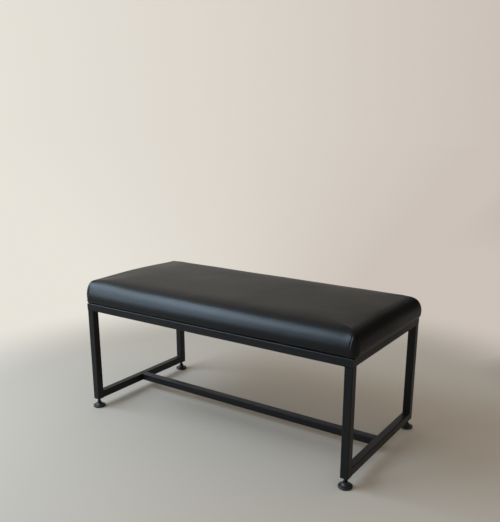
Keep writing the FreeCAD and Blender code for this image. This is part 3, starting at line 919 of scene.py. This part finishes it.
BACKDROP_LEFT = (0.80, 0.77, 0.70, 1)
BACKDROP_RIGHT = (0.60, 0.535, 0.48, 1)
BACKDROP_SHADE = (0.045, 0.042, 0.038, 1)
PALE_LEFT = (-0.85, -0.25)  # X of a direction, where the left colour turns into the right one
WALL_SHADE = (-0.16, 0.08)  # X of a direction, where the wall's shade begins and is full
FLOOR_SHADE = (0.44, 0.60)  # the same for the floor
FAR_FLOOR = (3.5, 12.0)  # distances from the bench where the floor's shade turns into the wall's
SHADE_END = (0.66, 0.90)  # X of a direction, where the shade turns into the front's colour
FRONT_END = (-0.7, -0.2)  # Y of a direction, where the front's colour ends
BACKDROP_FRONT = (0.30, 0.29, 0.27, 1)
UPPER_LEFT = (0.66, 0.63, 0.57, 1)
UPPER_RIGHT = (0.37, 0.34, 0.305, 1)
UPPER_TURN = (-0.66, -0.45)  # X of a direction, where the upper left colour turns into the right one
UPPER_FROM = (0.17, 0.24)  # Z of a direction, where the upper wall begins and is full
CEILING_BACK = (0.23, 0.23, 0.23, 1)
CEILING_FRONT = (0.47, 0.48, 0.50, 1)
CEILING_TURN = (0.0, 0.6)  # Y of a direction, where the ceiling's front colour turns into the back one
CEILING_FROM = (0.76, 0.95)  # Z of a direction, where the ceiling begins and is full
AMBIENT = (0.91, 0.85, 0.77, 1)  # light that falls on surfaces from all round
FLOOR_COLOUR = (0.298, 0.262, 0.220, 1)
FLOOR_REACH = 60.0  # length of its sides
WINDOW_TARGET = Vector((0, 0, 0.42))
WINDOW_DISTANCE = 2.6  # from its middle to the target
WINDOW_TURN = math.radians(222)  # from +X
WINDOW_COLOUR = (0.62, 0.81, 1.0)
WINDOWS = {  # elevation, width and height, radiance
    "window_sky": (math.radians(41), (2.2, 1.1), 12.2),
    "window_low": (math.radians(15), (2.3, 1.0), 5.6),
}
FADE_START = 0.95  # distance from the bench where the floor begins to turn into the backdrop
FADE_END = 1.6


def in_front(shader, direction):
    """Share of the front's colour in a direction, given by its parts: in front and straight to the right."""
    front = shader.remap(direction["Y"], *FRONT_END, 1.0, 0.0)
    return shader.math("MAXIMUM", front, shader.remap(direction["X"], *SHADE_END))


def backdrop_colour(shader, direction, shade):
    """Backdrop's colour in a direction from the bench: palest on the left, and darkest where the shade is."""
    part = shader.node("SeparateXYZ", {0: direction}).outputs
    pale = shader.mix(shader.remap(part["X"], *PALE_LEFT), BACKDROP_LEFT, BACKDROP_RIGHT)
    sides = shader.mix(shader.remap(part["X"], *shade), pale, BACKDROP_SHADE)
    return shader.mix(in_front(shader, part), sides, BACKDROP_FRONT)


def seen_directly(shader):
    """1 for what the camera sees, in mirrors and glass too, and 0 for the light that falls on surfaces."""
    rays = shader.node("LightPath").outputs
    seen = shader.math("MAXIMUM", rays["Is Camera Ray"], rays["Is Glossy Ray"])
    return shader.math("MAXIMUM", seen, rays["Is Transmission Ray"])


def stage_floor():
    """Floor that turns into the backdrop away from the bench, and is clear from below."""
    half = FLOOR_REACH / 2
    corners = [(-half, -half, 0), (half, -half, 0), (half, half, 0), (-half, half, 0)]
    shader = Shader("floor", Base_Color=FLOOR_COLOUR, Roughness=0.75, IOR=1.4)
    away = shader.node("VectorMath", {0: shader.place}, operation="LENGTH").outputs["Value"]
    ends = {"Value": away, "From Min": FADE_START, "From Max": FADE_END}
    turned = shader.node("MapRange", ends, interpolation_type="SMOOTHSTEP").outputs["Result"]
    direction = shader.node("VectorMath", {0: shader.place}, operation="NORMALIZE").outputs[0]
    near = backdrop_colour(shader, direction, FLOOR_SHADE)
    far = backdrop_colour(shader, direction, WALL_SHADE)
    colour = shader.mix(shader.remap(away, *FAR_FLOOR), near, far)
    glow = shader.node("Emission", {"Color": colour}).outputs[0]
    share = shader.math("MULTIPLY", turned, seen_directly(shader))
    faded = shader.node("MixShader", {0: share, 1: shader.surface.outputs[0], 2: glow})
    clear = shader.node("BsdfTransparent").outputs[0]
    behind = shader.node("NewGeometry").outputs["Backfacing"]
    both = shader.node("MixShader", {0: behind, 1: faded.outputs[0], 2: clear})
    shader.links.new(both.outputs[0], shader.nodes["Material Output"].inputs["Surface"])
    floor = mesh_piece("floor", corners, [(0, 1, 2, 3)], shader.material, smooth=False)


def world_light():
    """Even light on surfaces, and to the eye a wall that is darker above, with a grey ceiling."""
    world = bpy.data.worlds.new("studio")
    world.use_nodes = True
    bpy.context.scene.world = world
    shader = NodeTree(world.node_tree, "Generated")
    direction = shader.node("SeparateXYZ", {0: shader.place}).outputs
    upper = shader.mix(shader.remap(direction["X"], *UPPER_TURN), UPPER_LEFT, UPPER_RIGHT)
    upper = shader.mix(shader.remap(direction["X"], *WALL_SHADE), upper, BACKDROP_SHADE)
    upper = shader.mix(in_front(shader, direction), upper, BACKDROP_FRONT)
    ceiling = shader.mix(shader.remap(direction["Y"], *CEILING_TURN, 1.0, 0.0), CEILING_BACK, CEILING_FRONT)
    wall = backdrop_colour(shader, shader.place, WALL_SHADE)
    wall = shader.mix(shader.remap(direction["Z"], *UPPER_FROM), wall, upper)
    room = shader.mix(shader.remap(direction["Z"], *CEILING_FROM), wall, ceiling)
    colour = shader.mix(seen_directly(shader), AMBIENT, room)
    shader.links.new(colour, shader.nodes["Background"].inputs["Color"])


def soft_box(name, elevation, size, radiance):
    """Lamp that faces the bench from the front left."""
    around = Vector((math.cos(WINDOW_TURN), math.sin(WINDOW_TURN), 0)) * math.cos(elevation)
    place = WINDOW_TARGET + (around + Vector((0, 0, math.sin(elevation)))) * WINDOW_DISTANCE
    light = bpy.data.lights.new(name, "AREA")
    light.shape = "RECTANGLE"
    light.size, light.size_y = size
    light.energy = radiance * math.pi * size[0] * size[1]
    light.color = WINDOW_COLOUR
    lamp = link(bpy.data.objects.new(name, light))
    lamp.location = place
    lamp.rotation_euler = (WINDOW_TARGET - place).to_track_quat("-Z", "Y").to_euler()


def camera():
    """The photograph's camera."""
    lens = bpy.data.cameras.new("camera")
    lens.sensor_width = SENSOR
    lens.lens = FOCAL_PIXELS * SENSOR / IMAGE_HEIGHT
    lens.shift_y = AXIS_BELOW_MIDDLE / IMAGE_HEIGHT
    eye = link(bpy.data.objects.new("camera", lens))
    eye.location = CAMERA_PLACE
    eye.rotation_euler = (math.pi / 2 - CAMERA_PITCH, 0, CAMERA_YAW)
    bpy.context.scene.camera = eye


bpy.context.scene.view_settings.view_transform = "Standard"
stage_floor()
world_light()
for window_name, window in WINDOWS.items():
    soft_box(window_name, *window)
camera()
